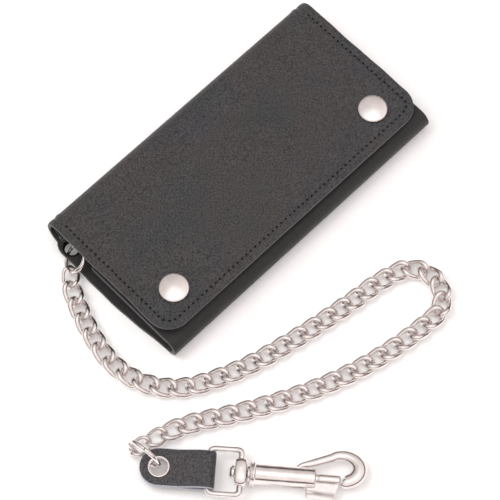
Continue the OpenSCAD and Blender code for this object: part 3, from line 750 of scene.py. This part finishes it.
tab_at, tab_heading, tab_ring_heading = np.array([-134.1, -81.6, 0]), -48.5, 98
ring_wire = 1.05
butted_ring("back_ring", 7.0, ring_wire, [-89.9, 24.8, 6.1],
            turn_about("X", 45) @ turn_about("Z", -133), 150, "wallet_ring", "wallet_ring")
ring_out = np.array([8.7, 0, 0]) @ turn_about("Z", tab_ring_heading)
butted_ring("tab_end_ring", 9.4, ring_wire, tab_at + ring_out + [0, 0, 10.55],
            turn_about("X", 90) @ turn_about("Z", tab_ring_heading), 95, "tab_ring", "tab_ring")

# ------------------------------
# Chain. Forty-eight curb links of round nickel-plated wire, each an oval twisted along its
# length so that it lies flat on its neighbours. Its wire is fuller outside, but the first link
# and the last two are of thinner round wire. Every four links move as one part.

links_per_part = 4
link_pitch, link_wire, link_half, link_round = 8.8, 1.18, 5.95, 3.75
link_twist, link_outside, chain_height = 48, 1.26, 3
end_link_wire, end_link_half = 1.0, 5.5
bends = [(1, 0), (1, 17.5), (4, 4), (6, 12), (4, 3.5), (7, 1), (2, -5.5), (5, -33), (9, -2.5),
         (5, -1.5), (4, 5.5)]
headings = -133 + np.cumsum(np.repeat([turn for _, turn in bends], [count for count, _ in bends]))
steps = link_pitch * np.stack([np.cos(np.radians(headings)), np.sin(np.radians(headings))], 1)
link_middles = np.array([-94.5, 23.5]) + np.cumsum(steps, 0) - steps / 2


def link_line(s, half):
    """Middle line of a link: once round an oval with straight sides and round ends as s goes
    from 0 to 1, and then twisted about its length in step with the distance from its middle."""
    flat = half - link_round
    whole = 4 * flat + 2 * np.pi * link_round
    d = (s % 1) * whole
    first, second = 2 * flat, 2 * flat + np.pi * link_round
    third = 4 * flat + np.pi * link_round
    right, left = (d - first) / link_round - np.pi / 2, (d - third) / link_round + np.pi / 2
    x = np.select([d < first, d < second, d < third],
                  [d - flat, flat + link_round * np.cos(right), flat - (d - second)],
                  -flat + link_round * np.cos(left))
    y = np.select([d < first, d < second, d < third],
                  [0 * d - link_round, link_round * np.sin(right), 0 * d + link_round],
                  link_round * np.sin(left))
    a = np.radians(link_twist) * x / half
    return np.stack([x, y * np.cos(a), y * np.sin(a)], -1)


def link_rings(half, wire, outer):
    """Rings of the wire round a link's middle line, each square to it and fuller outside."""
    s = np.linspace(0, 1, 60, endpoint=False)
    line, way = link_line(s, half), unit(link_line(s + 0.004, half) - link_line(s - 0.004, half))
    side = unit(np.cross(way, line + [0.1, 0, 0]))
    top = np.cross(side, way)
    a = np.linspace(0, 2 * np.pi, 14, endpoint=False)
    outward = np.where(np.sin(a) > 0, outer, 1.0)[:, None]
    return line[:, None] + wire * (1.12 * np.cos(a)[:, None] * side[:, None]
                                   + outward * np.sin(a)[:, None] * top[:, None])


all_links = np.tile(link_rings(link_half, link_wire, link_outside), (len(headings), 1, 1, 1))
all_links[[0, -2, -1]] = link_rings(end_link_half, end_link_wire, 1.0)
for part in range(len(headings) // links_per_part):
    picked = slice(part * links_per_part, (part + 1) * links_per_part)
    x, y, z = np.moveaxis(all_links[picked], -1, 0)
    turn = np.radians(headings[picked])[:, None, None]
    middle_x, middle_y = link_middles[picked].T[:, :, None, None]
    laid = np.stack([x * np.cos(turn) - y * np.sin(turn) + middle_x,
                     x * np.sin(turn) + y * np.cos(turn) + middle_y, z + chain_height], -1)
    links = skin(f"curb_links_{part + 1:02d}", laid, loop=True)
    plated(links, bright_nickel, f"chain_{part + 1:02d}", f"chain_{part + 1:02d}")

# ------------------------------
# Tab. A strip of black leather, 18 mm wide, folded double round the bar of the strap loop, with
# round ends held together by the eyelet. Its raw edge is pale where the knife cut it.

half_tab, tab_thickness = 9.0, 1.8
bar_along, bar_height = 23.6, 6.5
in_tab = turn_about("Z", tab_heading)


def tab_path():
    """Side view of the folded strip, as distance from the eyelet and height, with the half
    width of each row, which is that of a round end as far as the eyelet's middle."""
    end = np.radians(np.linspace(4, 90, 24))
    low_u = np.concatenate([-half_tab * np.cos(end), np.linspace(0.8, bar_along - 3, 18)])
    low_z = 4.9 + (bar_height - 2.5 - 4.9) * smooth((low_u - 7) / (bar_along - 10))
    high_z = 6.8 + (bar_height + 2.5 - 6.8) * smooth((low_u - 7) / (bar_along - 10))
    half = np.concatenate([half_tab * np.sin(end), np.full(18, half_tab)])
    turn = np.radians(np.linspace(-90, 90, 20))
    u = np.concatenate([low_u, bar_along + 2.5 * np.cos(turn), low_u[::-1]])
    z = np.concatenate([low_z, bar_height + 2.5 * np.sin(turn), high_z[::-1]])
    return u, z, np.concatenate([half, np.full(20, half_tab), half[::-1]])


tab_u, tab_z, tab_half = tab_path()
across = np.array([-1, -0.985, -0.95, -0.90, -0.84, *np.linspace(-0.76, 0.76, 17),
                   0.84, 0.90, 0.95, 0.985, 1])
tab_v = tab_half[:, None] * across
tab_middle = np.stack([tab_u[:, None] + 0 * tab_v, tab_v,
                       tab_z[:, None] + 0.10 * np.sin(tab_v / 3.1 + tab_u[:, None] / 6)], -1)
tab_edge = tab_half[:, None] * (1 - np.abs(across))
tab_leather = sheet_shell("tab_leather", (tab_middle @ in_tab + tab_at), tab_thickness,
                            grain=-0.22 * np.exp(-(tab_edge / 0.6) ** 2), wear=0.55)
cut_out(tab_leather, upright_rings(tab_at[0], tab_at[1], 4.3, [2, 6, 10]))
tab_leather.data.materials.clear()
tab_leather.data.materials.append(leather_paint(
    "tab_black_leather",
    [(0.30, (0.046, 0.046, 0.050)), (0.50, (0.055, 0.052, 0.057)), (0.70, (0.050, 0.048, 0.053))],
    (0.60, 0.62, 0.70), (0.42, 0.43, 0.52), 0.56, crease=0.4))
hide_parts("leather_tab")
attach(tab_leather, "tab")
eyelet("tab", tab_at, upright, 3.95, 5.3, 4.0, 7.7, "tab_eyelet", "tab_eyelet_washer", "tab",
       True, bright_nickel)

# ------------------------------
# Strap loop. A rectangle of cast nickel-plated rod, with a drum-shaped hub on its front side
# that is bored for the swivel stem.

loop_half, loop_length, rod = 11.1, 15.4, 1.4
loop_at = tab_at + np.array([bar_along + loop_length, 0, bar_height]) @ in_tab


def swept(line, radius, up, sides=20, flat=1.0):
    """Rings of a tube along a line that lies in a plane square to up. flat squeezes it along up."""
    way = unit(np.gradient(line, axis=0))
    side = unit(np.cross(way, up))
    a = np.linspace(0, 2 * np.pi, sides, endpoint=False)
    radius = np.broadcast_to(radius, len(line))[:, None, None]
    return line[:, None] + radius * (np.cos(a)[:, None] * side[:, None]
                                     + flat * np.sin(a)[:, None] * np.asarray(up))


corners = soften(np.array([[0, 4.2], [0, loop_half], [-loop_length, loop_half], [-loop_length, -loop_half],
                           [0, -loop_half], [0, -4.2]]), 3.0, steps=14)
rod_line = np.column_stack([corners, 0 * corners[:, 0]])
swell = rod * (1 + 0.18 * smooth((rod_line[:, 0] + 4) / 4))
loop_rod = skin("strap_loop_rod", swept(rod_line, swell, [0, 0, 1.0]) @ in_tab + loop_at)
hub_half, hub_height, hub_depth, bore_radius = 2.75, 7.0, 4.5, 1.9
hub_turn = np.linspace(0, 2 * np.pi, 64, endpoint=False)
hub_cos, hub_sin = np.cos(hub_turn), np.sin(hub_turn)
drum = np.stack([0 * hub_turn, hub_height * np.sign(hub_cos) * np.abs(hub_cos) ** 0.72,
                 hub_depth * np.sign(hub_sin) * np.abs(hub_sin) ** 0.72], 1)
bore = np.stack([0 * hub_turn, bore_radius * hub_cos, bore_radius * hub_sin], 1)
one_side = np.array([[hub_half, 0.80], [2.7, 0.87], [2.5, 0.93], [2.1, 0.97], [1.4, 1.0], [0.6, 1.015]])
stations = np.concatenate([one_side * [-1, 1], [[0, 1.02]], one_side[::-1]])
mouth, inside = np.array([hub_half, 0, 0]), np.array([2.5, 0, 0])
hub_rings = np.concatenate([
    drum * stations[:, 1][:, None, None] + stations[:, 0][:, None, None] * np.array([1.0, 0, 0]),
    np.stack([bore * 1.15 + mouth, bore + inside, bore - inside, bore * 1.15 - mouth])])
loop_hub = skin("strap_loop_hub", hub_rings @ in_tab + loop_at, loop=True)
for piece in (loop_rod, loop_hub):
    piece.data.materials.append(bright_nickel)
    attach(piece, "strap_loop")
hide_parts("strap_loop")

# ------------------------------
# Swivel bolt snap. A turned barrel with a double flange runs on a riveted stem in the hub. A
# cast hook grows out of its far side and comes round to meet the sprung bolt in the barrel.

snap_axes = turn_about("Y", 2.2) @ in_tab
snap_ahead, snap_left, snap_up = snap_axes
round_snap = np.stack([snap_left, snap_up, snap_ahead])
rivet_profile = soften([[0, -5.3], [2.6, -5.3], [3.6, -4.3], [3.6, -3.15], [0, -3.1]], 0.5)
swivel_rivet = turned("swivel_rivet_head", rivet_profile, loop_at, round_snap)
barrel_profile = soften([
    [0, -3.1], [1.5, -3.1], [1.5, 3.05], [3.7, 3.1], [4.0, 3.5], [4.0, 4.1], [5.6, 4.2],
    [6.2, 4.75], [6.2, 5.0], [5.4, 5.3], [5.4, 5.5], [6.1, 5.75], [6.1, 6.5],
    [5.15, 6.8], [5.0, 9.0], [5.0, 34.9], [4.6, 35.5], [2.75, 35.5],
    [2.75, 9.5], [0, 9.5]], 0.28)
barrel = turned("snap_barrel", barrel_profile, loop_at, round_snap, sides=80)
slot_start, slot_end, slot_half = 20.7, 37.0, 1.2
slot_corner = np.radians(np.linspace(0, 180, 12)) + np.pi / 2
slot_outline = np.concatenate([
    np.stack([slot_start + slot_half * np.cos(slot_corner), slot_half * np.sin(slot_corner)], 1),
    [[slot_end, -slot_half], [slot_end, slot_half]]])
slot_rings = np.stack([np.column_stack([slot_outline[:, 0], 0 * slot_outline[:, 0] + y, slot_outline[:, 1]])
                       for y in (-8.0, -4.0, 0.3)])
cut_out(barrel, slot_rings @ snap_axes + loop_at)

# The hook's middle line, as distance ahead, distance to the left and radius: it leaves the
# barrel, goes round the greater part of an oval and ends in front of the bolt.

eye_ahead, eye_left, eye_long, eye_wide = 47.8, 5.8, 8.4, 6.6
hook_root, hook_tip = [[26.0, 4.0, 1.0], [29.0, 6.1, 1.3], [34.0, 7.6, 1.9]], [[48.2, -0.2, 2.55]]
hook_eye = [[eye_ahead + eye_long * np.cos(np.radians(t)), eye_left + eye_wide * np.sin(np.radians(t)),
             2.2 + (135 - t) / 260] for t in range(135, -76, -30)]
hook_points = np.array(hook_root + hook_eye + hook_tip)


def through(points, steps):
    """A smooth curve through points, by Catmull and Rom's cubic between each neighbouring pair."""
    p = np.concatenate([[2 * points[0] - points[1]], points, [2 * points[-1] - points[-2]]])
    t = np.linspace(0, 1, steps, endpoint=False)[None, :, None]
    a, b, c, d = (p[k:len(p) - 3 + k, None] for k in range(4))
    curve = 0.5 * (2 * b + (c - a) * t + (2 * a - 5 * b + 4 * c - d) * t ** 2
                   + (3 * b - a - 3 * c + d) * t ** 3)
    return np.concatenate([curve.reshape(-1, points.shape[1]), points[-1:]])


hook_curve = through(hook_points, 9)
hook_line = np.column_stack([hook_curve[:, :2], 0 * hook_curve[:, 0]])
ends_in = np.concatenate([np.sqrt(1 - np.linspace(0.95, 0, 5) ** 2), np.ones(len(hook_line) - 9),
                          np.sqrt(1 - np.linspace(0.25, 0.8, 4) ** 2)])
swelling = 1.05 * np.exp(-((np.linspace(0, 1, len(hook_line)) - 0.70) / 0.20) ** 2)
hook_rings = swept(hook_line, (hook_curve[:, 2] + swelling) * ends_in, [0, 0, 1.0], sides=28, flat=0.80)
hook = skin("snap_hook_casting", hook_rings @ snap_axes + loop_at)
for piece, node_name in ((swivel_rivet, "swivel_rivet"), (barrel, "snap_body"), (hook, "snap_hook")):
    plated(piece, bright_nickel, node_name, "bolt_snap")

bolt_profile = soften([[0, 21.5], [2.0, 21.5], [2.4, 22.0], [2.4, 36.4], [2.2, 36.6], [2.2, 37.0],
                       [2.4, 37.2], [2.4, 46.7], [1.9, 47.4], [0, 47.4]], 0.3)
bolt = turned("sliding_bolt", bolt_profile, loop_at, round_snap)
lever_thickness, pad_rise = 1.8, 0.75
lever_in = np.array([[31.5, -2.2], [46.8, -2.2]])
lever_out = np.array([[31.5, -9.8], [43.6, -11.0]])
lever_s, lever_t = np.linspace(0, 1, 18)[:, None, None], np.linspace(0, 1, 20)[None, :, None]
lever_plan = ((1 - lever_t) * (lever_in[0] + (lever_in[1] - lever_in[0]) * lever_s)
              + lever_t * (lever_out[0] + (lever_out[1] - lever_out[0]) * lever_s))
pad = pad_rise * smooth((lever_t[..., 0] - 0.52) / 0.3) + 0 * lever_s[..., 0]
lever_middle = np.concatenate([lever_plan, 0 * lever_plan[..., :1]], -1)
thumb_lever = sheet_shell("bolt_thumb_lever", lever_middle @ snap_axes + loop_at, lever_thickness,
                          grain=pad, flesh=pad)
for piece, node_name in ((bolt, "slide_bolt"), (thumb_lever, "thumb_lever")):
    plated(piece, bright_nickel, node_name, "bolt")

# Bolt spring. Seven turns of steel wire in the barrel, behind the bolt; the bolt presses it flat.

coil_turns, coil_radius, coil_wire = 7, 2.2, 0.3
coil = np.linspace(0, 2 * np.pi * coil_turns, coil_turns * 26 + 1)
coil_line = np.stack([10.2 + 10.8 * coil / coil[-1], coil_radius * np.cos(coil),
                      coil_radius * np.sin(coil)], 1)
coil_way = unit(np.gradient(coil_line, axis=0))
coil_side = unit(np.cross(coil_way, [1.0, 0, 0]))
coil_top = np.cross(coil_side, coil_way)
a = np.linspace(0, 2 * np.pi, 8, endpoint=False)
coil_rings = coil_line[:, None] + coil_wire * (np.cos(a)[:, None] * coil_side[:, None]
                                               + np.sin(a)[:, None] * coil_top[:, None])
bolt_spring = skin("bolt_spring_wire", coil_rings @ snap_axes + loop_at)
bolt_spring.data.materials.append(nickel_paint("spring_steel_wire", (0.52, 0.51, 0.50), 0.26, 0.2))
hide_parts("bolt_spring")
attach(bolt_spring, "bolt_snap")
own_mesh(bolt_spring)
